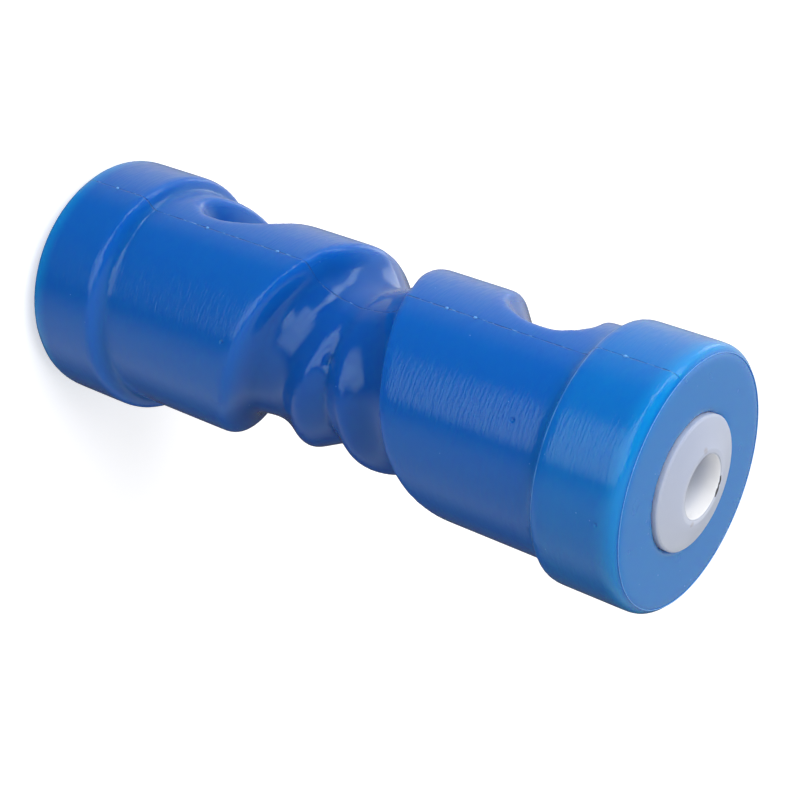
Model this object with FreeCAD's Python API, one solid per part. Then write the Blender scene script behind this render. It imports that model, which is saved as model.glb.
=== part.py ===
"""Self-centring keel roller of a boat trailer: one moulded body and two pressed-in bushes.

The roller's axis is Z and its middle is the origin. Angles run round +Z by the right hand
from the mould's parting line, which lies at angle 0. Each half has one water channel that
starts in the waist at the parting line, winds once round the body and runs out beside the
collar. The half on the negative side of Z is the mirror image of the other one.
"""
import FreeCAD, Part
import math
import os
from FreeCAD import Vector

# Driving dimensions of the body, in millimetres
LENGTH = 200.0          # between the two end faces of the body
COLLAR_D = 71.1         # raised collar at each end
COLLAR_WIDTH = 25.3
BODY_D = 63.4           # lands between the collars
RIM_R = 2.8             # rounding of the outer rim of each collar
COLLAR_EDGE_R = 2.1     # rounding of the collar's inner edge
COLLAR_FOOT_R = 1.7     # fillet from the collar down to the body

# Driving dimensions of the waist and its two channels
CHANNEL_DEPTH = 9.8     # from the land down to the root
CHANNEL_WIDTH = 26.9    # between the channel's two land edges
CHANNEL_START = 3.5     # centre line at the parting line, from the waist plane
CHANNEL_END_GAP = 19.0  # from the end of the centre line to the collar
CHANNEL_EASE = 0.13     # how much the helix flattens towards its end, as a share of its rise
CHANNEL_END_ANGLE = 352.0
CHANNEL_END_R = 12.5    # radius, in plan, of the scooped end
WAIST_ANGLE = -60.0     # angle at which the plain waist groove turns into the channels
RIB_LIFT_ANGLE = 150.0  # the ribs begin to rise towards the lands
RIB_FULL_ANGLE = 215.0  # the ribs have become lands

# Driving dimensions of the bushes and their seats
BUSH_HEAD_D = 36.2
BUSH_HEAD_THICKNESS = 5.2
BUSH_PROUD = 1.2        # the head's edge stands this far out of the end face
BUSH_CONE_RISE = 2.1    # the face rises this much more from the head's edge to the bore
BUSH_CHAMFER = 0.4      # round the edge of the head
BUSH_NOSE_WIDTH = 1.2   # flat ring round the mouth of the bore, which takes the thrust
BUSH_SHANK_D = 30.0
BUSH_SHANK_LENGTH = 32.3
BORE_D = 17.0
BORE_MOUTH_R = 0.3      # rounding of the bore's mouth
CORE_D = 24.0           # cored hole through the body between the bushes

# How the section of a channel changes as it winds. Depths are shares of CHANNEL_DEPTH below
# the land, offsets are shares of half of CHANNEL_WIDTH from the channel's centre line, and
# roundings are in millimetres.
# angle, valley depth, crest offset, depth and rounding, root offset and depth,
# foot offset and depth, land edge offset and rounding
STATIONS = [
    (-60, 1.00, -0.08, 0.79, 2.0, 0.10, 0.57, 0.27, 0.37, 0.56, 8.0),
    (-25, 1.07, -0.08, 1.01, 2.0, 0.20, 0.90, 0.48, 0.62, 0.74, 4.0),
    (0, 1.11, -0.07, 1.04, 2.0, 0.33, 0.97, 0.78, 0.66, 0.99, 1.0),
    (20, 1.12, -0.29, 1.02, 1.5, 0.24, 1.00, 0.76, 0.72, 0.98, 1.2),
    (41, 1.13, -0.48, 0.95, 1.2, 0.10, 1.05, 0.71, 0.79, 0.95, 1.6),
    (60, 1.10, -0.57, 0.77, 1.8, -0.02, 1.05, 0.62, 0.82, 0.87, 4.0),
    (84, 1.03, -0.68, 0.61, 3.0, -0.10, 1.05, 0.56, 0.84, 0.83, 7.4),
    (126, 1.08, -0.97, 0.43, 5.0, -0.20, 1.01, 0.62, 0.86, 0.98, 11.0),
    (165, 1.04, -1.02, 0.42, 5.0, -0.20, 1.03, 0.60, 0.88, 0.99, 10.0),
    (215, 0.70, -1.12, 0.01, 6.0, -0.40, 1.00, 0.60, 0.93, 0.99, 9.0),
    (300, 0.70, -1.12, 0.01, 2.5, -0.45, 1.00, 0.60, 0.95, 0.99, 3.0),
    (352, 0.70, -1.12, 0.01, 2.5, -0.45, 1.00, 0.60, 0.95, 0.99, 3.0),
]
ANGLE_STEP = 6.0        # between the sections of a channel
END_STEPS = 7           # sections through the scooped end
TIP_WIDTH = 0.1         # share of the half width that is left at the very tip
SKIN = 0.012            # share of the depth that rounded edges stay under the land
RIM_RISE = 0.12         # share of the depth that a section rises to beyond a land edge
RIM_REACH = 0.35        # share of the half width that it reaches beyond that edge
WAIST_OVERLAP = 0.3     # the cut of a half passes the waist plane by this much
BRIM_WIDTH = 1.0        # short slope that closes the section behind the valley
BRIM_RISE = 1.2
VALLEY_R = 0.3
ROOT_R = 16.0
FOOT_R = 4.0
MIN_TANGENT = 0.3       # shortest rounding that a corner gets
TANGENT_SHARE = 0.45    # share of a side that a rounding may take at most
CUT_CLEAR = 4.0         # cutting tools stand this far outside the collars

body_r = BODY_D / 2
collar_r = COLLAR_D / 2
half_length = LENGTH / 2
collar_z = half_length - COLLAR_WIDTH
half_width = CHANNEL_WIDTH / 2
cut_r = collar_r + CUT_CLEAR
bore_r = BORE_D / 2
head_z = half_length + BUSH_PROUD
nose_z = head_z + BUSH_CONE_RISE
seat_z = head_z - BUSH_HEAD_THICKNESS
shank_z = head_z - BUSH_SHANK_LENGTH


def turned(outline):
    """Solid of revolution about Z from edges in the XZ plane."""
    return Part.Face(Part.Wire(outline)).revolve(Vector(0, 0, 0), Vector(0, 0, 1), 360)


def path(points):
    """Straight edges through (radius, height) points."""
    at = [Vector(r, 0, z) for r, z in points]
    return [Part.makeLine(a, b) for a, b in zip(at, at[1:])]


def arc(start, middle, end):
    """Arc through three (radius, height) points."""
    a, b, c = (Vector(r, 0, z) for r, z in (start, middle, end))
    return Part.Arc(a, b, c).toShape()


def quarter(centre, radius, from_angle, sense=1):
    """Quarter circle that starts at from_angle, in degrees from the outward radius."""
    turns = [math.radians(from_angle + sense * part) for part in (0, 45, 90)]
    r, z = centre
    return arc(*((r + radius * math.cos(t), z + radius * math.sin(t)) for t in turns))


def mirrored(shape):
    """The same shape on the other side of the waist plane."""
    return shape.mirror(Vector(0, 0, 0), Vector(0, 0, 1))


def smooth(angle, column):
    """Value of a column of STATIONS at an angle, with no overshoot between the rows."""
    angles = [row[0] for row in STATIONS]
    values = [row[column] for row in STATIONS]
    slopes = [(values[i + 1] - values[i]) / (angles[i + 1] - angles[i]) for i in range(len(values) - 1)]
    tangents = [0.0]
    for before, after in zip(slopes, slopes[1:]):
        level = before * after <= 0
        tangents.append(0.0 if level else 2 * before * after / (before + after))
    tangents.append(0.0)
    i = max(k for k in range(len(slopes)) if angles[k] <= angle)
    gap = angles[i + 1] - angles[i]
    t = (angle - angles[i]) / gap
    return (
        (2 * t**3 - 3 * t**2 + 1) * values[i]
        + (t**3 - 2 * t**2 + t) * gap * tangents[i]
        + (3 * t**2 - 2 * t**3) * values[i + 1]
        + (t**3 - t**2) * gap * tangents[i + 1]
    )


def centre_line(angle):
    """Distance of the channel's centre line from the waist plane: a helix that eases off."""
    turn = max(angle, 0) / CHANNEL_END_ANGLE
    span = collar_z - CHANNEL_END_GAP - CHANNEL_START
    return CHANNEL_START + span * ((1 + CHANNEL_EASE) * turn - CHANNEL_EASE * turn**2)


def section_corners(angle):
    """Corners (height, radius, rounding) of the channel's section at an angle."""
    values = [smooth(angle, column) for column in range(1, 11)]
    valley, crest_at, crest, crest_round, root_at, root, foot_at, foot, edge_at, edge_round = values
    middle = centre_line(angle)
    lift = min(max((angle - RIB_LIFT_ANGLE) / (RIB_FULL_ANGLE - RIB_LIFT_ANGLE), 0), 1)
    valley = valley * (1 - lift) - RIM_RISE * lift
    valley_z = -WAIST_OVERLAP
    valley_z += (middle + (crest_at - RIM_REACH) * half_width - valley_z) * lift

    # the scooped end closes the section like the end of a spoon
    to_tip = math.radians(CHANNEL_END_ANGLE - angle) * body_r
    closing = max(1 - to_tip / CHANNEL_END_R, 0)
    width = max(math.sqrt(1 - closing**2), TIP_WIDTH)
    depth = math.sin((1 - closing) * math.pi / 2)

    def corner(offset, share, rounding):
        return (
            middle + offset * half_width * width,
            body_r - (share * depth - RIM_RISE * (1 - depth)) * CHANNEL_DEPTH,
            rounding,
        )

    lip = (crest_at * width, edge_at * width)
    valley_r = body_r - valley * CHANNEL_DEPTH
    if closing > 0:
        valley_z = middle + (lip[0] - RIM_REACH) * half_width
    return [
        (valley_z - BRIM_WIDTH, valley_r + BRIM_RISE, 0),
        (valley_z, valley_r, VALLEY_R),
        corner(crest_at, crest, crest_round),
        corner(root_at, root, ROOT_R),
        corner(foot_at, foot, FOOT_R),
        corner(edge_at, SKIN, edge_round),
        (middle + (lip[1] + RIM_REACH) * half_width, body_r + RIM_RISE * CHANNEL_DEPTH, 0),
    ]


def floor_points(corners):
    """Points (height, radius) of the floor: each corner between its two tangent points."""
    points = [corners[0][:2]]
    for before, here, after in zip(corners, corners[1:], corners[2:]):
        back = (before[0] - here[0], before[1] - here[1])
        on = (after[0] - here[0], after[1] - here[1])
        back_length = math.hypot(*back)
        on_length = math.hypot(*on)
        cosine = -(back[0] * on[0] + back[1] * on[1]) / (back_length * on_length)
        turn = math.acos(max(-1, min(1, cosine)))
        tangent = max(here[2] * math.tan(turn / 2), MIN_TANGENT)
        tangent = min(tangent, TANGENT_SHARE * back_length, TANGENT_SHARE * on_length)
        points.append((here[0] + back[0] / back_length * tangent, here[1] + back[1] / back_length * tangent))
        points.append(here[:2])
        points.append((here[0] + on[0] / on_length * tangent, here[1] + on[1] / on_length * tangent))
    points.append(corners[-1][:2])
    return points


def rounding(start, corner, end):
    """Curve that rounds a corner off between its two tangent points."""
    curve = Part.BezierCurve()
    curve.setPoles([start, corner, end])
    return curve.toShape()


def section_wire(angle):
    """Closed section of the cut at an angle: its floor, and a roof outside the collars."""
    turn = math.radians(angle)
    outward = Vector(math.cos(turn), math.sin(turn), 0)
    at = [outward * r + Vector(0, 0, z) for z, r in floor_points(section_corners(angle))]
    edges = [Part.makeLine(at[0], at[1])]
    for i in range(1, len(at) - 3, 3):
        edges.append(rounding(at[i], at[i + 1], at[i + 2]))
        edges.append(Part.makeLine(at[i + 2], at[i + 3]))
    top = [outward * cut_r + Vector(0, 0, p.z) for p in (at[-1], at[0])]
    edges += [
        Part.makeLine(at[-1], top[0]),
        Part.makeLine(top[0], top[1]),
        Part.makeLine(top[1], at[0]),
    ]
    return Part.Wire(edges)


def channel_angles():
    """Angles of the sections: even steps, then closer ones through the scooped end."""
    end_span = math.degrees(CHANNEL_END_R / body_r)
    end_start = CHANNEL_END_ANGLE - end_span
    count = math.ceil((end_start - WAIST_ANGLE) / ANGLE_STEP)
    even = [WAIST_ANGLE + (end_start - WAIST_ANGLE) * i / count for i in range(count + 1)]
    scoop = [
        CHANNEL_END_ANGLE - end_span * (1 - math.sin(math.pi / 2 * i / END_STEPS))
        for i in range(1, END_STEPS + 1)
    ]
    return even + scoop


def channel_cut():
    """What the mould leaves open in one half: the channel, and the waist groove behind it."""
    channel = Part.makeLoft([section_wire(angle) for angle in channel_angles()], True, False)
    groove_end = Part.Face(section_wire(WAIST_ANGLE))
    sweep = WAIST_ANGLE + 360 - RIB_LIFT_ANGLE
    groove = groove_end.revolve(Vector(0, 0, 0), Vector(0, 0, -1), sweep)
    return channel, groove


def half_blank():
    """Half of the body before its channel: land, collar, bush seat and half the cored hole."""
    foot_z = collar_z - COLLAR_FOOT_R
    edge_z = collar_z + COLLAR_EDGE_R
    rim_z = half_length - RIM_R
    outline = path([(body_r, 0), (body_r, foot_z)])
    outline.append(quarter((body_r + COLLAR_FOOT_R, foot_z), COLLAR_FOOT_R, 180, -1))
    outline += path([(body_r + COLLAR_FOOT_R, collar_z), (collar_r - COLLAR_EDGE_R, collar_z)])
    outline.append(quarter((collar_r - COLLAR_EDGE_R, edge_z), COLLAR_EDGE_R, -90))
    outline += path([(collar_r, edge_z), (collar_r, rim_z)])
    outline.append(quarter((collar_r - RIM_R, rim_z), RIM_R, 0))
    outline += path([
        (collar_r - RIM_R, half_length),
        (BUSH_HEAD_D / 2, half_length),
        (BUSH_HEAD_D / 2, seat_z),
        (BUSH_SHANK_D / 2, seat_z),
        (BUSH_SHANK_D / 2, shank_z),
        (CORE_D / 2, shank_z),
        (CORE_D / 2, 0),
        (body_r, 0),
    ])
    return turned(outline)


def roller_body():
    """The near half with its channel, and its mirror image."""
    half = half_blank()
    for cut in channel_cut():
        half = half.cut(cut)
    return half.fuse(mirrored(half)).removeSplitter()


def bush():
    """Bush for the far end in +Z: flanged head with a coned face, shank and bore."""
    head_r = BUSH_HEAD_D / 2
    shank_r = BUSH_SHANK_D / 2
    mouth_r = bore_r + BORE_MOUTH_R
    outline = path([
        (mouth_r, nose_z),
        (mouth_r + BUSH_NOSE_WIDTH, nose_z),
        (head_r - BUSH_CHAMFER, head_z),
        (head_r, head_z - BUSH_CHAMFER),
        (head_r, seat_z),
        (shank_r, seat_z),
        (shank_r, shank_z),
        (bore_r, shank_z),
        (bore_r, nose_z - BORE_MOUTH_R),
    ])
    outline.append(quarter((mouth_r, nose_z - BORE_MOUTH_R), BORE_MOUTH_R, 180, -1))
    return turned(outline)


def main():
    os.makedirs("parts", exist_ok=True)
    near = bush()
    pieces = {
        "roller_body": roller_body(),
        "bush_near": near,
        "bush_far": mirrored(near),
    }
    for name, shape in pieces.items():
        shape.exportStep("parts/" + name + ".step")
        print(name, shape.isValid(), len(shape.Solids), "solid,", round(shape.Volume / 1000, 1), "cm3")


main()
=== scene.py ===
# %% [markdown]
# # A boat trailer roller
# A blue roller of moulded plastic carries the keel of a boat, and a white nylon bush is pressed
# into each of its ends. The sizes come from the CAD model, so this script only dresses it.
# The first cell loads that model. Everything is in metres, and the roller stands on its end.

# %% Load the CAD model
import bpy
import bmesh
import math
from mathutils import Matrix, Vector
from mathutils.bvhtree import BVHTree


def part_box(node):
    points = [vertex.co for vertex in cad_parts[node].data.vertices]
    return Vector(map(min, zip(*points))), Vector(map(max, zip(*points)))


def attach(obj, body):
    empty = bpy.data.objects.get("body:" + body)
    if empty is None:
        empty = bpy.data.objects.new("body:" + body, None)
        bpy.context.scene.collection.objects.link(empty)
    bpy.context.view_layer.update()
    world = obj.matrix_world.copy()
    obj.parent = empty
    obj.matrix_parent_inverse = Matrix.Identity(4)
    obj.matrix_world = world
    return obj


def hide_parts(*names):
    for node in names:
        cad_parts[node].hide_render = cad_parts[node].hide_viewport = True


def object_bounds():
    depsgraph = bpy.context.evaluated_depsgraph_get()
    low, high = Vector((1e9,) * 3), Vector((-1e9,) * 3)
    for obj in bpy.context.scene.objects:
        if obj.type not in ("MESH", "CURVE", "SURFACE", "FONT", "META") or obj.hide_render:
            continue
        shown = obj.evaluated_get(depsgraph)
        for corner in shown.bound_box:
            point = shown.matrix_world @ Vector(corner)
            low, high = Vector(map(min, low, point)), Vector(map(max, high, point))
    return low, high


MM = 0.001

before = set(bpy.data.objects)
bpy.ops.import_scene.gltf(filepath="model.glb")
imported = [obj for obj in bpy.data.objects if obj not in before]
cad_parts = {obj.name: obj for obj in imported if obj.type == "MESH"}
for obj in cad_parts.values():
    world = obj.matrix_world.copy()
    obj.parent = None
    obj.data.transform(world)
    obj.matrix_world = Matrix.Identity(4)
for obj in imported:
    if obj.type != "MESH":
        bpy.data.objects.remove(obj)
cad_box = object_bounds()
low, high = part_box("roller_body")
print("nodes:", sorted(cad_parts))
print("roller body, mm:", [round((b - a) / MM, 1) for a, b in zip(low, high)])

# %% [markdown]
# ## Small helpers
# Colours are easiest to pick as the hex values of a paint program, but Blender's shaders count in
# linear light, so one function turns one into the other. A second one adds any node with its
# settings and its links, which keeps each material below short enough to read. Further down,
# `tree` is always the node tree of the finish in hand, and `place` is a point's place in it.

# %% Colour and node helpers


def colour(hex_value):
    """The linear RGBA of an sRGB hex colour such as "1463BE"."""
    values = [int(hex_value[k:k + 2], 16) / 255 for k in (0, 2, 4)]
    linear = [v / 12.92 if v <= 0.04045 else ((v + 0.055) / 1.055) ** 2.4 for v in values]
    return (*linear, 1.0)


def add(tree, kind, settings=None, **inputs):
    """Adds a node of a kind.

    An input is named as its socket, with _ for a space, or as s0, s1, ... by its number.
    """
    node = tree.nodes.new(kind)
    for name, value in (settings or {}).items():
        setattr(node, name, value)
    for name, value in inputs.items():
        by_number = name[0] == "s" and name[1:].isdigit()
        socket = node.inputs[int(name[1:]) if by_number else name.replace("_", " ")]
        if isinstance(value, bpy.types.NodeSocket):
            tree.links.new(value, socket)
        else:
            socket.default_value = value
    return node


def new_material(name):
    """An empty material and its node tree."""
    material = bpy.data.materials.new(name)
    material.use_nodes = True
    material.node_tree.nodes.clear()
    return material, material.node_tree


print("blue in linear light:", [round(v, 3) for v in colour("1463BE")])

# %% [markdown]
# ## The camera
# The photograph shows the roller lying down, seen over its near end. The model stands up. It
# could be laid down for the picture, but every piece has to stay where the CAD model has it, so
# the camera is rolled on its side instead: its place and its turn are those that lay the model's
# outline on the photograph's. A long lens keeps the far end nearly as large as the near one.

# %% Camera
CAMERA_PLACE = Vector((0.33431, 0.28452, 0.29207))
CAMERA_LOOK = Vector((-0.64900, -0.53705, -0.53887))
CAMERA_UP = Vector((0.74246, -0.60163, -0.29461))
LENS, SENSOR_WIDTH = 86.08, 36.0     # in millimetres, as a camera's data block wants them
CLIP_START = 10 * MM

camera_data = bpy.data.cameras.new("camera")
camera_data.lens = LENS
camera_data.sensor_width = SENSOR_WIDTH
camera_data.clip_start = CLIP_START
camera = bpy.data.objects.new("camera", camera_data)
bpy.context.scene.collection.objects.link(camera)
side = CAMERA_LOOK.cross(CAMERA_UP).normalized()
up = side.cross(CAMERA_LOOK).normalized()
turn = Matrix((side, up, -CAMERA_LOOK.normalized())).transposed()
camera.matrix_world = Matrix.Translation(CAMERA_PLACE) @ turn.to_4x4()
bpy.context.scene.camera = camera
print("camera distance, mm:", round(CAMERA_PLACE.length / MM))

# %% [markdown]
# ## The body's surface
# The CAD mesh of the body is made of long thin triangles, which is right for its sizes and
# catches the light badly in a satin plastic. It could be modelled again from a lathed profile,
# but the winding channels are hard to match that way. So a copy of the CAD mesh is rebuilt. Its
# triangles are loose, and this cell merges them into one skin first, because the rebuilding has
# to tell the inside from the outside.

# %% Merged copy of the body
MERGE_WITHIN = 0.002 * MM

cad_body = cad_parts["roller_body"]
body = bpy.data.objects.new("moulded_body", cad_body.data.copy())
bpy.context.scene.collection.objects.link(body)
body.data.materials.clear()

skin = bmesh.new()
skin.from_mesh(body.data)
bmesh.ops.remove_doubles(skin, verts=skin.verts, dist=MERGE_WITHIN)
print("corners of the merged skin:", len(skin.verts))
skin.to_mesh(body.data)
skin.free()

# %% [markdown]
# ## Small even squares
# Subdividing would only make more of the thin triangles. The Remesh modifier in voxel mode builds
# the skin anew in even squares, which is also what light that wanders inside the plastic needs. A
# square is well below the smallest rounding of the roller, so its form stays as it is. Voxels
# leave faint steps on slanting faces, and a few rounds of smoothing take them out.

# %% Even skin of the body
SKIN_STEP = 0.96 * MM
SMOOTH_ROUNDS, SMOOTH_FACTOR = 4, 0.5

remesh = body.modifiers.new("even_skin", "REMESH")
remesh.mode = "VOXEL"
remesh.voxel_size = SKIN_STEP
remesh.use_smooth_shade = True
graph = bpy.context.evaluated_depsgraph_get()
even = bpy.data.meshes.new_from_object(body.evaluated_get(graph))
body.modifiers.clear()
body.data = even

skin = bmesh.new()
skin.from_mesh(body.data)
for _ in range(SMOOTH_ROUNDS):
    bmesh.ops.smooth_vert(
        skin, verts=skin.verts, factor=SMOOTH_FACTOR,
        use_axis_x=True, use_axis_y=True, use_axis_z=True,
    )
bmesh.ops.recalc_face_normals(skin, faces=skin.faces)
for face in skin.faces:
    face.smooth = True
print("body faces:", len(skin.faces), "volume, cm3:", round(skin.calc_volume() * 1e6, 1))
skin.to_mesh(body.data)
skin.free()

# %% [markdown]
# ## Blue moulded plastic: where a point lies
# Rollers like this are poured or moulded in a tough, slightly waxy plastic between polyethylene
# and polyurethane. Its marks follow the mould. They could be painted on an unwrapped image, but
# nodes stay sharp at any size. So this cell first turns a point of the skin into the mould's own
# terms: its angle and its distance from the axis, the distance from the parting line, where the
# two halves of the mould met, and whether the point is on a flat end.

# %% Places on the skin
LAND_R = 31.7 * MM
COLLAR_R = 35.55 * MM
COLLAR_Z = 74.7 * MM      # where a collar begins, from the roller's middle
END_Z = 100.0 * MM


def places(tree):
    """A point's place, its x, y and z, its angle about the axis and its distance from it."""
    place = add(tree, "ShaderNodeTexCoord").outputs["Object"]
    split = add(tree, "ShaderNodeSeparateXYZ", Vector=place)
    x, y, z = (split.outputs[axis] for axis in "XYZ")
    angle = add(tree, "ShaderNodeMath", {"operation": "ARCTAN2"}, s0=y, s1=x).outputs[0]
    flat = add(tree, "ShaderNodeCombineXYZ", X=x, Y=y).outputs[0]
    radius = add(tree, "ShaderNodeVectorMath", {"operation": "LENGTH"}, s0=flat).outputs["Value"]
    return place, x, y, z, angle, radius


blue, tree = new_material("moulded_waxy_plastic_blue")
place, _, y, z, angle, radius = places(tree)
from_middle = add(tree, "ShaderNodeMath", {"operation": "ABSOLUTE"}, s0=z).outputs[0]
from_seam = add(tree, "ShaderNodeMath", {"operation": "ABSOLUTE"}, s0=y).outputs[0]
on_end = add(
    tree, "ShaderNodeMapRange", {"interpolation_type": "SMOOTHSTEP"}, Value=from_middle,
    From_Min=END_Z - 0.9 * MM, From_Max=END_Z - 0.2 * MM,
).outputs["Result"]
on_side = add(tree, "ShaderNodeMath", {"operation": "SUBTRACT"}, s0=1.0, s1=on_end).outputs[0]
print("nodes for the places:", len(tree.nodes))

# %% [markdown]
# ## Two helpers for marks
# A mark is a value from 0 to 1 at each point of the skin. Two small functions serve the whole
# roller: one draws a soft round mark about a point, and the other takes the strongest of several
# marks. Adding the marks up instead would make them too strong where they overlap.

# %% Round marks
SOFT_CENTRE = 0.2     # the part of a mark's radius inside which it is full


def dot(tree, place, centre, size):
    """Soft round mark about a point of the skin, 1 in its middle."""
    away = add(
        tree, "ShaderNodeVectorMath", {"operation": "DISTANCE"}, s0=place, s1=centre,
    ).outputs["Value"]
    return add(
        tree, "ShaderNodeMapRange", {"interpolation_type": "SMOOTHSTEP"}, Value=away,
        From_Min=size, From_Max=SOFT_CENTRE * size,
    ).outputs["Result"]


def strongest(tree, marks):
    """The strongest of several marks at each point."""
    level = 0.0
    for mark in marks:
        level = add(
            tree, "ShaderNodeMath", {"operation": "MAXIMUM"}, s0=level, s1=mark,
        ).outputs[0]
    return level


print("a round mark is full in the inner part of its radius:", SOFT_CENTRE)

# %% [markdown]
# ## The mould's parting line
# The plastic crept a little into the joint of the mould. That left a hair-thin groove with a
# ragged edge along both sides of the roller, and a few small nubs on it where the joint let more
# through; in places the groove is painted dark, as painted shade. The groove is finer than the
# mesh's squares, so it is drawn in the material and not cut into the mesh. The nubs are placed
# by their distance from the middle.

# %% Parting line and nubs
SEAM_HALF_WIDTH = 0.27 * MM
RAGGED_STEP = 5.556 * MM     # length of a ragged stretch of the seam
CRUMB_STEP = 2.381 * MM      # from one crumb of flash to the next
NUBS = (-87, -53, -27, 30.5, 39.5, 84.5)      # along the roller, in millimetres
NUB_R = 0.42 * MM


def skin_radius(at):
    """The skin's distance from the axis, on a collar or on a land."""
    return COLLAR_R if abs(at) > COLLAR_Z else LAND_R


ragged = add(
    tree, "ShaderNodeTexNoise", Vector=place, Scale=1 / RAGGED_STEP, Detail=3.0,
).outputs["Fac"]
patchy = add(
    tree, "ShaderNodeMapRange", Value=ragged, From_Min=0.35, From_Max=0.65, To_Min=0.25,
).outputs["Result"]
line = add(
    tree, "ShaderNodeMapRange", {"interpolation_type": "SMOOTHSTEP"}, Value=from_seam,
    From_Min=SEAM_HALF_WIDTH, From_Max=0.0,
).outputs["Result"]
groove = add(tree, "ShaderNodeMath", {"operation": "MULTIPLY"}, s0=line, s1=on_side).outputs[0]
seam = add(tree, "ShaderNodeMath", {"operation": "MULTIPLY"}, s0=groove, s1=patchy).outputs[0]
crumb_noise = add(
    tree, "ShaderNodeTexNoise", Vector=place, Scale=1 / CRUMB_STEP, Detail=2.0,
).outputs["Fac"]
crumbs = add(
    tree, "ShaderNodeMapRange", Value=crumb_noise, From_Min=0.55, From_Max=0.65,
).outputs["Result"]
flash = add(tree, "ShaderNodeMath", {"operation": "MULTIPLY"}, s0=groove, s1=crumbs).outputs[0]
nubs = strongest(
    tree, (dot(tree, place, (skin_radius(at * MM), 0, at * MM), NUB_R) for at in NUBS),
)
print("nubs on the parting line:", len(NUBS))

# %% [markdown]
# ## Pits and specks
# The skin has a few pits from grit in the mould, and pale specks that lie just under it. The pits
# are placed one by one, where the photograph shows them. The specks are many and lie anywhere, so
# each sits in a cell of a Voronoi texture, and only a part of the cells have one: that keeps them
# apart from each other, where a noise would clump them.

# %% Pits and specks
PITS = (    # angle from the parting line in degrees, along the roller in mm, radius in mm
    (54.8, -29.5, 0.7), (57.9, -12.6, 0.5), (60.0, -9.9, 0.5), (41.6, 63.9, 0.9), (69.3, 94.3, 0.7),
)
SPECK_SPACING = 3.0 * MM
SPECK_OUTER, SPECK_INNER = 0.07, 0.03     # radius where a speck fades and is full, in spacings
SPECK_CHOICE = 0.75                       # only cells with a value above this hold a speck


def turned(degrees, away, at):
    """Point at an angle from the parting line, a distance from the axis and a height."""
    return Matrix.Rotation(math.radians(degrees), 3, "Z") @ Vector((away, 0, at))


pits = strongest(tree, (
    dot(tree, place, turned(degrees, skin_radius(at * MM), at * MM), size * MM)
    for degrees, at, size in PITS
))
grains = add(tree, "ShaderNodeTexVoronoi", Vector=place, Scale=1 / SPECK_SPACING)
small = add(
    tree, "ShaderNodeMapRange", {"interpolation_type": "SMOOTHSTEP"},
    Value=grains.outputs["Distance"], From_Min=SPECK_OUTER, From_Max=SPECK_INNER,
).outputs["Result"]
chosen = add(
    tree, "ShaderNodeMath", {"operation": "GREATER_THAN"},
    s0=grains.outputs["Color"], s1=SPECK_CHOICE,
).outputs[0]
specks = add(tree, "ShaderNodeMath", {"operation": "MULTIPLY"}, s0=small, s1=chosen).outputs[0]
print("pits:", len(PITS), "nodes so far:", len(tree.nodes))

# %% [markdown]
# ## Tool marks
# Where the skin mirrors a lamp, fine marks show that run round the roller: the mould was turned
# on a lathe, and its tool marks were printed on the plastic. A wave texture would draw them too
# evenly, so they are a noise on the unrolled surface, stretched round the roller. The channels
# show none, so the marks are kept to the lands and the collars.

# %% Tool marks
TOOL_MARK = 0.8 * MM         # from one mark to the next, drawn a little coarser than they are
TOOL_MARK_LENGTH = 5.0 * MM

round_it = add(
    tree, "ShaderNodeMath", {"operation": "MULTIPLY"}, s0=angle, s1=LAND_R / TOOL_MARK_LENGTH,
).outputs[0]
along_it = add(
    tree, "ShaderNodeMath", {"operation": "MULTIPLY"}, s0=z, s1=1 / TOOL_MARK,
).outputs[0]
unrolled = add(tree, "ShaderNodeCombineXYZ", X=round_it, Y=along_it).outputs[0]
turnings = add(
    tree, "ShaderNodeTexNoise", Vector=unrolled, Scale=1.0, Detail=2.0,
).outputs["Fac"]
on_land = add(
    tree, "ShaderNodeMapRange", Value=radius,
    From_Min=LAND_R - 1.0 * MM, From_Max=LAND_R - 0.3 * MM, To_Max=on_side,
).outputs["Result"]
tool_marks = add(
    tree, "ShaderNodeMapRange", Value=turnings, From_Min=0.4, From_Max=0.62, To_Max=on_land,
).outputs["Result"]
print("tool marks from collar to collar:", round(2 * COLLAR_Z / TOOL_MARK))

# %% [markdown]
# ## The relief of the skin
# All the marks above become one height in millimetres, which a Bump node turns into small turns
# of the surface: the seam and the pits go in, the nubs stand out. Displacement would move the
# mesh itself, but these marks are finer than its squares. A slow, faint swell is added, because a
# cooled moulding is never quite even, and its mirror images waver a little.

# %% Relief
RELIEF = (    # mark, height in millimetres
    (seam, -0.09), (flash, 0.12), (nubs, 0.22), (pits, -0.3), (specks, 0.02), (tool_marks, 0.023),
)
SWELL_LENGTH = 14.286 * MM
SWELL_HEIGHT = 0.02     # in millimetres

swell = add(
    tree, "ShaderNodeTexNoise", Vector=place, Scale=1 / SWELL_LENGTH, Detail=1.0,
).outputs["Fac"]
height = add(
    tree, "ShaderNodeMath", {"operation": "MULTIPLY"}, s0=swell, s1=SWELL_HEIGHT,
).outputs[0]
for mark, depth in RELIEF:
    height = add(
        tree, "ShaderNodeMath", {"operation": "MULTIPLY_ADD"}, s0=mark, s1=depth, s2=height,
    ).outputs[0]
skin_normal = add(
    tree, "ShaderNodeBump", Strength=1.0, Distance=MM, Height=height,
).outputs["Normal"]
print("marks in the relief:", len(RELIEF))
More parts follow.
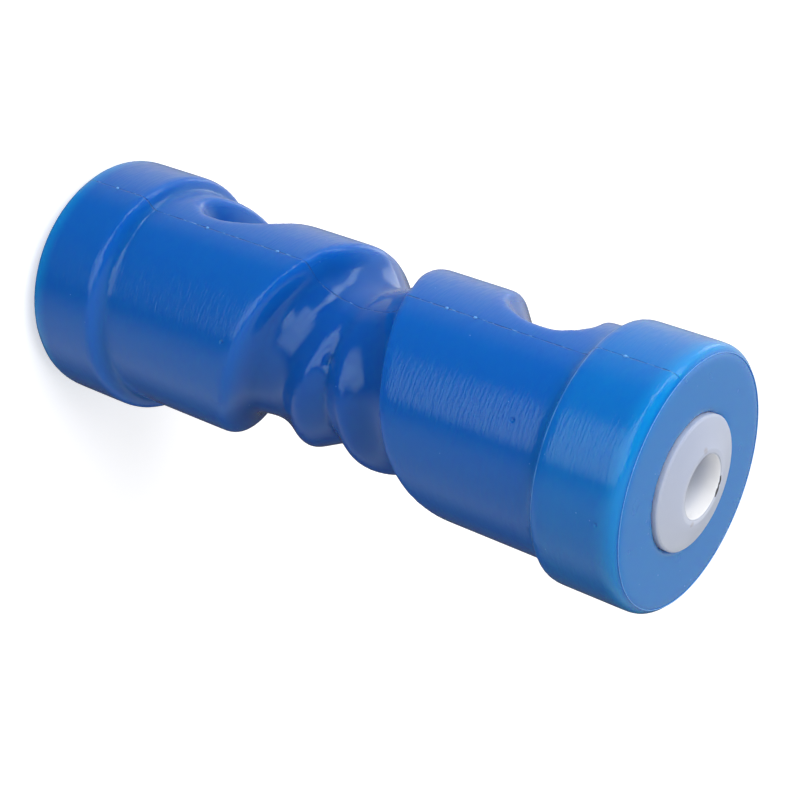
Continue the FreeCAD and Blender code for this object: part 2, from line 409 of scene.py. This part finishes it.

# %% [markdown]
# ## The areas of the blue
# The blue isn't quite even. The waist is painted darker, as painted shade between the ribs, and
# the near end is a shade greener. The thin rims are painted a lighter blue, a painted glow for
# the light that passes through them. Vertex colours could hold these areas, but a distance that
# is turned into a soft step needs no painting, and it stays right if the mesh is rebuilt.

# %% Areas of the blue
# painted shade: the waist between the ribs is painted a darker blue
in_waist = add(
    tree, "ShaderNodeMapRange", {"interpolation_type": "SMOOTHSTEP"}, Value=radius,
    From_Min=LAND_R - 0.5 * MM, From_Max=LAND_R - 6 * MM,
).outputs["Result"]
near_end = add(
    tree, "ShaderNodeMapRange", {"interpolation_type": "SMOOTHSTEP"}, Value=z,
    From_Min=COLLAR_Z - 8 * MM, From_Max=COLLAR_Z + 8 * MM,
).outputs["Result"]
# painted light: the rims are painted a lighter blue, a painted glow
rim = add(
    tree, "ShaderNodeMapRange", {"interpolation_type": "SMOOTHSTEP"}, Value=from_middle,
    From_Min=END_Z - 7 * MM, From_Max=END_Z - 1 * MM,
).outputs["Result"]
print("nodes with the areas:", len(tree.nodes))

# %% [markdown]
# ## Bruised plastic and a painted highlight
# A pale line along the near collar's inner edge is a painted highlight. Bruised plastic is pale:
# it is full of fine cracks that turn light back before it gets inside. Paler paint alone would
# still glow blue from within, so the light inside is turned down there as well.

# %% Bruises and the painted highlight
# painted highlight: a pale line along the near collar's inner edge
HIGHLIGHT_Z, HIGHLIGHT_HALF_WIDTH = COLLAR_Z + 1.1 * MM, 0.22 * MM
BRUISE, COLLAR_HIGHLIGHT = 0.45, 0.4     # how strongly each covers the blue
OPAQUE_FROM = 0.4              # bruised this much, plastic lets no light inside

bruised = add(
    tree, "ShaderNodeMath", {"operation": "MULTIPLY"},
    s0=strongest(tree, (nubs, specks, flash)), s1=BRUISE,
).outputs[0]
at_edge = add(
    tree, "ShaderNodeMath", {"operation": "COMPARE"}, s0=z, s1=HIGHLIGHT_Z, s2=HIGHLIGHT_HALF_WIDTH,
).outputs[0]
highlight_line = add(tree, "ShaderNodeMath", {"operation": "MULTIPLY"}, s0=at_edge, s1=patchy).outputs[0]
collar_highlight = add(tree, "ShaderNodeMath", {"operation": "MULTIPLY"}, s0=highlight_line, s1=COLLAR_HIGHLIGHT).outputs[0]
inside = add(
    tree, "ShaderNodeMapRange", Value=strongest(tree, (bruised, collar_highlight)),
    From_Max=OPAQUE_FROM, To_Min=1.0, To_Max=0.0,
).outputs["Result"]
print("nodes with the bruises:", len(tree.nodes))

# %% [markdown]
# ## One shade over another
# A Color Ramp could hold the shades, but they don't follow one value. So each is laid over the
# last by its own mark, as coats of paint would be, and the painted shade in the seam, the bruises
# and the painted highlight on the near collar come last. The bushes are painted by the same
# function further down.

# %% Blue in its shades
SHADES = {
    "land": "0C60B6", "waist": "0A53A8", "near end": "0C70BF", "end face": "0D78C5",
    "rim": "0C88CC", "painted_shade": "06295C", "bruise_and_highlight": "7CBAF6",
}
SEAM_SHADE = 0.75     # how strongly the painted shade in the seam covers the blue


def paint(tree, ground, layers):
    """A ground colour with layers over it, each a mark, a strength and a hex colour."""
    for mark, strength, shade in layers:
        amount = add(
            tree, "ShaderNodeMath", {"operation": "MULTIPLY"}, s0=mark, s1=strength,
        ).outputs[0]
        ground = add(
            tree, "ShaderNodeMix", {"data_type": "RGBA"},
            Factor=amount, s6=ground, s7=colour(shade),
        ).outputs[2]
    return ground


tint = paint(tree, colour(SHADES["land"]), (
    # painted shade: the waist's darker blue
    (in_waist, 1.0, SHADES["waist"]), (near_end, 1.0, SHADES["near end"]),
    # painted light: the rims' and the flat ends' lighter blues
    (rim, 1.0, SHADES["rim"]), (on_end, 1.0, SHADES["end face"]),
    # painted shade: the dark blue in the seam's groove
    (seam, SEAM_SHADE, SHADES["painted_shade"]), (bruised, 1.0, SHADES["bruise_and_highlight"]),
    # painted highlight: the pale line at the near collar's inner edge
    (collar_highlight, 1.0, SHADES["bruise_and_highlight"]),
))
print("shades of blue:", len(SHADES))

# %% [markdown]
# ## Gloss, and the light inside
# Light enters this plastic and comes out a few millimetres away: that is subsurface scattering,
# and blue light gets the furthest. One half of the mould left a satin skin and the other a
# glossier one, with a step in the sheen right at the parting line. Over both lies a thin, glossy
# bloom, which a coat layer draws: a single roughness can't give the streaks their crisp edges and
# the skin its soft sheen at once. The wax in the skin turns its sheen a little green.

# %% Blue plastic
SATIN, WAIST, GLOSSY, FACE_ROUGHNESS = 0.34, 0.18, 0.15, 0.3
ROUGHER = ((ragged, 0.05), (tool_marks, 0.08))     # mark, roughness that it adds
POLISH = 0.06                                      # roughness that is taken off everywhere
SHEEN_TINT = "CBFFE7"
LIGHT_DEPTH = 6 * MM                               # how far blue light gets inside
DEPTH_BY_COLOUR = (0.15, 0.5, 1.0)                 # red, green and blue, as parts of it

satin = add(tree, "ShaderNodeMix", Factor=in_waist, s2=SATIN, s3=WAIST).outputs[0]
halves = add(
    tree, "ShaderNodeMapRange", Value=y,
    From_Min=-0.1 * MM, From_Max=0.1 * MM, To_Min=satin, To_Max=GLOSSY,
).outputs["Result"]
roughness = add(tree, "ShaderNodeMix", Factor=on_end, s2=halves, s3=FACE_ROUGHNESS).outputs[0]
for mark, amount in ROUGHER:
    roughness = add(
        tree, "ShaderNodeMath", {"operation": "MULTIPLY_ADD"}, s0=mark, s1=amount, s2=roughness,
    ).outputs[0]
roughness = add(
    tree, "ShaderNodeMath", {"operation": "SUBTRACT"}, s0=roughness, s1=POLISH,
).outputs[0]
shader = add(
    tree, "ShaderNodeBsdfPrincipled",
    Base_Color=tint, Roughness=roughness, Normal=skin_normal, IOR=1.5,
    Specular_IOR_Level=0.4, Specular_Tint=colour(SHEEN_TINT),
    Coat_Weight=0.55, Coat_Roughness=0.06, Coat_IOR=1.5, Coat_Normal=skin_normal,
    Subsurface_Weight=inside, Subsurface_Scale=LIGHT_DEPTH, Subsurface_Radius=DEPTH_BY_COLOUR,
)
add(tree, "ShaderNodeOutputMaterial", Surface=shader.outputs[0])
body.data.materials.append(blue)
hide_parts("roller_body")
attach(body, "root")
print("material:", blue.name, "nodes:", len(tree.nodes))

# %% [markdown]
# ## Plastic of the flash
# Plastic as thin as the flash is bruised pale, and it is too small for light to wander in it. The
# body's material would make it look dark, so it has a plain finish of its own, with a fine bloom.

# %% Flash plastic
BLOOM_GRAIN = 0.6667 * MM
FLASH_BLUE, FLASH_PALE = "2478CE", "7DBAF0"
FLASH_ROUGHNESS = 0.3

flash_blue, tree = new_material("moulded_waxy_plastic_flash")
place = add(tree, "ShaderNodeTexCoord").outputs["Object"]
bloom = add(
    tree, "ShaderNodeTexNoise", Vector=place, Scale=1 / BLOOM_GRAIN, Detail=2.0,
).outputs["Fac"]
paled = add(
    tree, "ShaderNodeMix", {"data_type": "RGBA"},
    Factor=bloom, s6=colour(FLASH_BLUE), s7=colour(FLASH_PALE),
).outputs[2]
shader = add(tree, "ShaderNodeBsdfPrincipled", Base_Color=paled, Roughness=FLASH_ROUGHNESS)
add(tree, "ShaderNodeOutputMaterial", Surface=shader.outputs[0])
print("material:", flash_blue.name, "nodes:", len(tree.nodes))

# %% [markdown]
# ## The nubs themselves
# The nubs of flash are real little lumps of the same plastic. Each one is a ball, pressed flat
# like a lentil and sunk halfway into the skin, which reads better than paint alone when the light
# comes from the side. Their places could be typed in, but a ray that is cast at the skin from
# outside finds where each one sits, and none is put where the line runs through a channel.

# %% Nubs of flash
NUB_HEIGHT = 0.3 * MM
NUB_STRETCH = 1.3            # a nub is a little longer along the seam than across it
CHANNEL_FROM = 0.3 * MM      # skin this far below a land belongs to a channel


def new_piece(name, shape, material):
    """Smooth object with a material, made from a bmesh."""
    for face in shape.faces:
        face.smooth = True
    mesh = bpy.data.meshes.new(name)
    shape.to_mesh(mesh)
    shape.free()
    mesh.materials.append(material)
    piece = bpy.data.objects.new(name, mesh)
    bpy.context.scene.collection.objects.link(piece)
    return piece


skin_tree = BVHTree.FromPolygons(
    [vertex.co for vertex in body.data.vertices],
    [polygon.vertices for polygon in body.data.polygons],
)
lumps = bmesh.new()
seated = 0
for side_x in (1, -1):
    for at in NUBS:
        start = Vector((2 * side_x * COLLAR_R, 0, at * MM))
        hit = skin_tree.ray_cast(start, Vector((-side_x, 0, 0)))[0]
        if abs(hit.x) < LAND_R - CHANNEL_FROM:
            continue
        size = Matrix.Diagonal((NUB_HEIGHT, NUB_R, NUB_STRETCH * NUB_R, 1))
        bmesh.ops.create_icosphere(
            lumps, subdivisions=2, radius=1.0, matrix=Matrix.Translation(hit) @ size,
        )
        seated += 1
print("nubs on the skin:", seated, "faces:", len(lumps.faces))
flash_nubs = new_piece("flash_nubs", lumps, flash_blue)
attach(flash_nubs, "root")

# %% [markdown]
# ## A ridge along the rim
# A hair-thin ridge runs round the rounding of each end, where the mould's end plate met its
# barrel. It could be drawn by bump, but its thin highlight follows the rim in the photograph, so
# it is real: small circles that stand round the roller's axis, sunk into the skin, each joined to
# the next. Spinning one circle would do too, but its faces come out in another order on each run.

# %% Ridges on the rims
RIDGE_AWAY, RIDGE_Z = 33.6 * MM, 99.87 * MM     # on the rounding, just outside the flat end
RIDGE_R = 0.13 * MM
RIDGE_SIDES, RIDGE_STEPS = 8, 180

ridges = bmesh.new()
upright = Matrix.Rotation(math.radians(90), 4, "X")
for end in (1, -1):
    rings = []
    for step in range(RIDGE_STEPS):
        spun = Matrix.Rotation(math.tau * step / RIDGE_STEPS, 4, "Z")
        seat = Matrix.Translation((RIDGE_AWAY, 0, end * RIDGE_Z))
        rings.append(bmesh.ops.create_circle(
            ridges, segments=RIDGE_SIDES, radius=RIDGE_R, matrix=spun @ seat @ upright,
        )["verts"])
    for last, ring in zip(rings, rings[1:] + rings[:1]):
        for k in range(RIDGE_SIDES):
            ridges.faces.new((last[k - 1], last[k], ring[k], ring[k - 1]))
bmesh.ops.recalc_face_normals(ridges, faces=ridges.faces)
open_edges = sum(edge.is_boundary for edge in ridges.edges)
print("ridge faces:", len(ridges.faces), "open edges:", open_edges)
# The ridge is real, and its pale flash plastic is partly a painted highlight along the rim.
rim_ridges = new_piece("rim_ridges", ridges, flash_blue)
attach(rim_ridges, "root")

# %% [markdown]
# ## White nylon bushes: where a point lies
# The bushes are moulded in natural nylon, a milky plastic with a faint cool tint and a soft sheen.
# Their form in the CAD model is right, so they only get this finish. Its marks lie on rings round
# the bore, so a point is described by its distance from the axis and its angle, as on the body.

# %% Places on a bush
BORE_R = 8.5 * MM
BUSH_R = 18.1 * MM
LIP_Z = 103.3 * MM
MOTTLE_GRAIN = 1.111 * MM
CLOUD_SIZE = 8.333 * MM

nylon, tree = new_material("natural_nylon_white")
place, x, _, z, angle, radius = places(tree)
mottle = add(
    tree, "ShaderNodeTexNoise", Vector=place, Scale=1 / MOTTLE_GRAIN, Detail=4.0,
).outputs["Fac"]
clouds = add(
    tree, "ShaderNodeTexNoise", Vector=place, Scale=1 / CLOUD_SIZE, Detail=2.0,
).outputs["Fac"]
print("nodes for the places:", len(tree.nodes))

# %% [markdown]
# ## Painted light in the bore, painted shade on the face
# The bore is painted a whiter white than the face, as painted light, and a little greyer further
# in, as painted shade. The head is painted a shade darker towards one side, as painted shade. These
# broad marks are laid down before the small ones, as a painter would do.

# %% Bore and face
BORE_EDGE = 0.15 * MM                          # width of the step from the face to the bore
DEEP_FROM, DEEP_TO = 2 * MM, 6.5 * MM          # below the lip

# painted light: the bore is painted a whiter white than the face
in_bore = add(
    tree, "ShaderNodeMapRange", Value=radius, From_Min=BORE_R + BORE_EDGE, From_Max=BORE_R,
).outputs["Result"]
on_head = add(tree, "ShaderNodeMath", {"operation": "SUBTRACT"}, s0=1.0, s1=in_bore).outputs[0]
# painted shade: the bore is painted greyer further in
depth = add(
    tree, "ShaderNodeMapRange", {"interpolation_type": "SMOOTHSTEP"}, Value=z,
    From_Min=LIP_Z - DEEP_FROM, From_Max=LIP_Z - DEEP_TO,
).outputs["Result"]
deep_shade = add(tree, "ShaderNodeMath", {"operation": "MULTIPLY"}, s0=in_bore, s1=depth).outputs[0]
# painted shade: the head is painted darker towards one side
shaded = add(
    tree, "ShaderNodeMapRange", Value=x, From_Min=-BUSH_R, From_Max=BUSH_R,
).outputs["Result"]
print("nodes with the broad marks:", len(tree.nodes))

# %% [markdown]
# ## Painted shade and grit at the lip
# The bore's lip is painted with a thin dark line, as painted shade, and, on one side, with a crust
# of black grit. Both are parts of a ring, which a Compare node cuts out of the distance from the
# axis. A noise lets the crust's ring wander, or it would look like a printed line, and only the
# bush that the photograph shows has the crust.

# %% Painted shade and grit
LIP_AWAY, LIP_HALF_WIDTH = BORE_R + 0.3 * MM, 0.15 * MM
GRIT_AWAY, GRIT_HALF_WIDTH, GRIT_WANDER = BORE_R + 1.15 * MM, 0.42 * MM, 1.2 * MM
GRIT_MIDDLE, GRIT_SPAN = math.radians(-130), math.radians(18)     # the span to each side

# painted shade: a thin dark line painted round the bore's lip
lip_line = add(
    tree, "ShaderNodeMath", {"operation": "COMPARE"}, s0=radius, s1=LIP_AWAY, s2=LIP_HALF_WIDTH,
).outputs[0]
lip_shade = add(tree, "ShaderNodeMath", {"operation": "MULTIPLY"}, s0=lip_line, s1=clouds).outputs[0]
wander = add(
    tree, "ShaderNodeMath", {"operation": "MULTIPLY_ADD"}, s0=mottle, s1=GRIT_WANDER, s2=radius,
).outputs[0]
grit = add(
    tree, "ShaderNodeMath", {"operation": "COMPARE"},
    s0=wander, s1=GRIT_AWAY, s2=GRIT_HALF_WIDTH,
).outputs[0]
sector = add(
    tree, "ShaderNodeMath", {"operation": "COMPARE"}, s0=angle, s1=GRIT_MIDDLE, s2=GRIT_SPAN,
).outputs[0]
near = add(tree, "ShaderNodeMath", {"operation": "GREATER_THAN"}, s0=z, s1=0.0).outputs[0]
for limit in (sector, near, on_head):
    grit = add(tree, "ShaderNodeMath", {"operation": "MULTIPLY"}, s0=grit, s1=limit).outputs[0]
print("nodes with the dirt:", len(tree.nodes))

# %% [markdown]
# ## Rusty smudges and dark flecks
# Two rusty smudges lie at the lip and two dark flecks on the face. They are round marks, as on
# the body. The smudges are broken up by the mottled noise, because rust soaks into a surface
# unevenly.

# %% Smudges and flecks
SMUDGES = ((-15, 10.2, 1.3), (140, 9.9, 1.2))     # angle, mm from the axis, radius in mm
# The face lies a little below the lip's height, so the flecks are large enough to reach it.
FLECKS = ((56, 15.6, 1.5), (65, 17.1, 1.9))


def on_face(degrees, away, size):
    """Soft round mark on the near bush's face."""
    return dot(tree, place, turned(degrees, away * MM, LIP_Z), size * MM)


smudges = strongest(tree, (on_face(*smudge) for smudge in SMUDGES))
rust = add(tree, "ShaderNodeMath", {"operation": "MULTIPLY"}, s0=smudges, s1=mottle).outputs[0]
flecks = strongest(tree, (on_face(*fleck) for fleck in FLECKS))
print("smudges and flecks on the near bush:", len(SMUDGES) + len(FLECKS))

# %% [markdown]
# ## Nylon
# Nylon is milky: light scatters a few millimetres inside it, which softens its edges and lets
# the edge of the head pick up a little blue from the body. A plain white paint would look like
# chalk there. Its gloss is that of a satin moulding. Over the white lie painted shade and painted
# light, then the rust, the flecks and the grit as duller colours.

# %% White nylon
NYLON_WHITE = "CBD1E0"
LAYERS = (    # mark, strength, colour
    # the face's darker side, the bore's grey depth and the lip's line are painted shade; the bore's
    # whiter white is painted light
    (shaded, 1.0, "ACB4C8"), (in_bore, 1.0, "F0F1F5"), (deep_shade, 0.3, "9AA9C4"),
    (lip_shade, 0.8, "6E7288"), (rust, 0.7, "8A7466"), (flecks, 0.5, "6E7488"), (grit, 1.0, "16161C"),
)
UNEVENNESS = 0.03            # height of the nylon's clouds in millimetres
NYLON_DEPTH = 5 * MM         # how far light gets inside

white = paint(tree, colour(NYLON_WHITE), LAYERS)
waves = add(
    tree, "ShaderNodeMath", {"operation": "MULTIPLY"}, s0=clouds, s1=UNEVENNESS,
).outputs[0]
relief = add(
    tree, "ShaderNodeBump", Strength=1.0, Distance=MM, Height=waves,
).outputs["Normal"]
shader = add(
    tree, "ShaderNodeBsdfPrincipled",
    Base_Color=white, Roughness=0.35, Normal=relief, IOR=1.53,
    Subsurface_Weight=1.0, Subsurface_Scale=NYLON_DEPTH, Subsurface_Radius=(1.0, 1.0, 1.0),
)
add(tree, "ShaderNodeOutputMaterial", Surface=shader.outputs[0])
for name in ("bush_near", "bush_far"):
    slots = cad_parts[name].data.materials
    slots.clear()
    slots.append(nylon)
print("material:", nylon.name, "nodes:", len(tree.nodes))

# %% [markdown]
# ## The floor
# The roller stands on a plain pale floor. A whiter paint or more light would make it as white as
# the photograph's background, but would light the roller as well. So a little light is added
# that only the camera sees, and the roller's shadow stays on the floor.

# %% Floor
FLOOR_SIZE = 6.0
FLOOR_GLOW = 0.5
PAPER = "EDEDEF"

paper, tree = new_material("white_paper_floor")
rays = add(tree, "ShaderNodeLightPath")
seen = add(
    tree, "ShaderNodeMath", {"operation": "MAXIMUM"},
    s0=rays.outputs["Is Camera Ray"], s1=rays.outputs["Is Transmission Ray"],
).outputs[0]
glow = add(tree, "ShaderNodeMath", {"operation": "MULTIPLY"}, s0=seen, s1=FLOOR_GLOW).outputs[0]
shine = add(tree, "ShaderNodeEmission", Strength=glow)
matt = add(tree, "ShaderNodeBsdfDiffuse", Color=colour(PAPER))
both = add(tree, "ShaderNodeAddShader", s0=matt.outputs[0], s1=shine.outputs[0])
add(tree, "ShaderNodeOutputMaterial", Surface=both.outputs[0])

sheet = bmesh.new()
bmesh.ops.create_grid(sheet, x_segments=1, y_segments=1, size=FLOOR_SIZE / 2)
bmesh.ops.translate(sheet, verts=sheet.verts, vec=(0, 0, cad_box[0][2]))
floor = new_piece("floor", sheet, paper)
floor.visible_glossy = False
print("floor at z, mm:", round(cad_box[0][2] / MM, 1))

# %% [markdown]
# ## The studio in the plastic's mirror images
# A satin plastic looks like what it mirrors. Lamps could draw those mirror images, but they would
# light the roller too. So the studio's white table, white backdrop and softboxes are soft patches
# in the world's light: each one is a direction, a size in degrees and a brightness, and the rest
# of the room is dim. Angles are the azimuth about the roller's axis and the elevation above its
# waist.

# %% World and directions
world = bpy.data.worlds.new("studio")
bpy.context.scene.world = world
world.use_nodes = True
world.cycles.sampling_method = "NONE"
tree = world.node_tree
tree.nodes.clear()
direction = add(tree, "ShaderNodeTexCoord").outputs["Generated"]


def towards(azimuth, elevation):
    """Unit vector of a direction given in degrees."""
    a, e = math.radians(azimuth), math.radians(elevation)
    return Vector((math.cos(e) * math.cos(a), math.cos(e) * math.sin(a), math.sin(e)))


print("direction of the camera:", [round(v, 2) for v in towards(40, 34)])

# %% [markdown]
# ## Round patches
# A table or a backdrop has no edge that the plastic would show, so it is a round patch that fades
# away. A dot product of two unit vectors is the cosine of the angle between them, and one step on
# it draws the patch.

# %% Round patch


def round_patch(azimuth, elevation, inner, outer, brightness):
    """Round patch of light that fades from an inner to an outer angle."""
    ahead = add(
        tree, "ShaderNodeVectorMath", {"operation": "DOT_PRODUCT"},
        s0=direction, s1=towards(azimuth, elevation),
    ).outputs["Value"]
    return add(
        tree, "ShaderNodeMapRange", {"interpolation_type": "SMOOTHSTEP"},
        Value=ahead, To_Max=brightness,
        From_Min=math.cos(math.radians(outer)), From_Max=math.cos(math.radians(inner)),
    ).outputs["Result"]


print("a round patch is a function of its direction, two angles and a brightness")

# %% [markdown]
# ## Softboxes
# A softbox is a rectangle, and its edges show as the streaks' edges. The direction is projected
# on a plane in front of the eye, as a pinhole camera would do it, and the rectangle is cut out
# there, across and up. An area lamp would give the same mirror image, but not without its light.

# %% Softbox
AHEAD_LEAST = 0.001     # keeps a softbox from showing again in the opposite direction


def softbox(azimuth, elevation, width, height, turn, edge, brightness):
    """Rectangle of light with a soft edge, its half width and half height as angles."""
    axis = towards(azimuth, elevation)
    level = Vector((0, 0, 1)).cross(axis).normalized()
    level = Matrix.Rotation(math.radians(turn), 3, axis) @ level
    across, rise, ahead = (
        add(
            tree, "ShaderNodeVectorMath", {"operation": "DOT_PRODUCT"}, s0=direction, s1=line,
        ).outputs["Value"]
        for line in (level, axis.cross(level), axis)
    )
    ahead = add(
        tree, "ShaderNodeMath", {"operation": "MAXIMUM"}, s0=ahead, s1=AHEAD_LEAST,
    ).outputs[0]
    patch = brightness
    for off, half in ((across, width), (rise, height)):
        slope = add(
            tree, "ShaderNodeMath", {"operation": "DIVIDE"}, s0=off, s1=ahead,
        ).outputs[0]
        size = add(tree, "ShaderNodeMath", {"operation": "ABSOLUTE"}, s0=slope).outputs[0]
        part = add(
            tree, "ShaderNodeMapRange", {"interpolation_type": "SMOOTHSTEP"}, Value=size,
            From_Min=math.tan(math.radians(half + edge)),
            From_Max=math.tan(math.radians(half - edge)),
        ).outputs["Result"]
        patch = add(
            tree, "ShaderNodeMath", {"operation": "MULTIPLY"}, s0=patch, s1=part,
        ).outputs[0]
    return patch


print("a softbox is a function of its direction, its size, its turn, its edge and a brightness")

# %% [markdown]
# ## Table, backdrop and softboxes
# The table and the backdrop are the two large pale areas. The roller shades the table under
# itself and the ceiling above the backdrop is dim, so two patches take light away. Softboxes
# stand on the left of the photograph and hang in a long bent row above, and their edges draw the
# streaks in the channels. The last one is a pale wall behind the roller that its end face
# mirrors. An image of a real studio would do the same, but this way each streak can be moved.

# %% The studio's lights
ROOM = 0.07
# azimuth, elevation, inner angle, outer angle, brightness
TABLE = (147, 17, 68, 96, 0.5)
BACKDROP = (-88, -2, 25, 82, 0.77)
DIM_AREAS = (    # the same, with the part of the light that each takes away
    (-165, -30, 20, 50, 0.85),            # the table in the roller's own shade
    (-72, 62, 12, 32, 0.7),               # the ceiling above the backdrop
)
SOFTBOXES = (
    # azimuth, elevation, half width, half height, turn, soft edge, brightness
    (43, -15, 20, 18, -10, 7, 1.15),      # on the left of the photograph
    (29, -8, 16, 12, -12, 3, 1.4),        # its middle, with a crisp edge
    (43, 12, 9, 12, 0, 4, 1.5),           # its upper part
    (-20, 0, 15, 6, -14, 4, 2.6),         # long one above
    (10, -6, 17, 4, -6, 3, 1.7),          # its far end
    (-44, 20, 6, 19, 27, 4, 2.4),         # its end that bends upwards
    (-87, -1, 18, 7, 27, 5, 2.2),         # the bright strip on the backdrop
    (-112, 34, 20, 14, 0, 7, 1.03),       # behind the roller, seen in its end face
)

studio = strongest(tree, (ROOM, round_patch(*TABLE), round_patch(*BACKDROP)))
for dim in DIM_AREAS:
    left_over = add(
        tree, "ShaderNodeMath", {"operation": "SUBTRACT"}, s0=1.0, s1=round_patch(*dim),
    ).outputs[0]
    studio = add(
        tree, "ShaderNodeMath", {"operation": "MULTIPLY"}, s0=studio, s1=left_over,
    ).outputs[0]
studio = strongest(tree, (studio, *(softbox(*box) for box in SOFTBOXES)))
print("softboxes:", len(SOFTBOXES))

# %% [markdown]
# ## Which rays see which light
# Mirror-like rays see the studio above. Rays that light the matt part of a surface see a plain
# grey room instead, so that a colour comes out about as it is written. The camera, and rays that
# pass through a clear piece, see pure white behind the object. Light Path tells them apart.

# %% World
AMBIENT = 0.55

rays = add(tree, "ShaderNodeLightPath")
level = add(tree, "ShaderNodeMix", Factor=rays.outputs["Is Glossy Ray"], s2=AMBIENT, s3=studio)
strength = strongest(tree, (
    level.outputs[0], rays.outputs["Is Camera Ray"], rays.outputs["Is Transmission Ray"],
))
background = add(tree, "ShaderNodeBackground", Color=colour("FFFFFF"), Strength=strength)
add(tree, "ShaderNodeOutputWorld", Surface=background.outputs[0])
print("nodes in the world:", len(tree.nodes))

# %% [markdown]
# ## One soft lamp
# A large soft lamp gives the roller its bright side and its gentle shade. A sun lamp would draw a
# hard line between the two. The lamp stays out of the mirror images, which have their own
# softboxes above.

# %% Lamp
LAMP_AZIMUTH, LAMP_ELEVATION = -10, 40
LAMP_DISTANCE = 1.2
LAMP_SIDE = 1.0
LAMP_WATTS = 13.0

lamp_data = bpy.data.lights.new("soft_lamp", "AREA")
lamp_data.size = LAMP_SIDE
lamp_data.energy = LAMP_WATTS
lamp = bpy.data.objects.new("soft_lamp", lamp_data)
aim = towards(LAMP_AZIMUTH, LAMP_ELEVATION)
facing = aim.to_track_quat("Z", "Y").to_matrix().to_4x4()
lamp.matrix_world = Matrix.Translation(aim * LAMP_DISTANCE) @ facing
lamp.visible_glossy = False
bpy.context.scene.collection.objects.link(lamp)
print("lamp, watts:", LAMP_WATTS)

# %% [markdown]
# ## Colours as they are written
# The Standard view shows a colour as its hex value says. The last cell notes how large the model
# was as CAD, and hands the scene over.

# %% Hand over
bpy.context.scene.view_settings.view_transform = "Standard"
print("CAD box, mm:", [[round(c / MM, 1) for c in v] for v in cad_box])
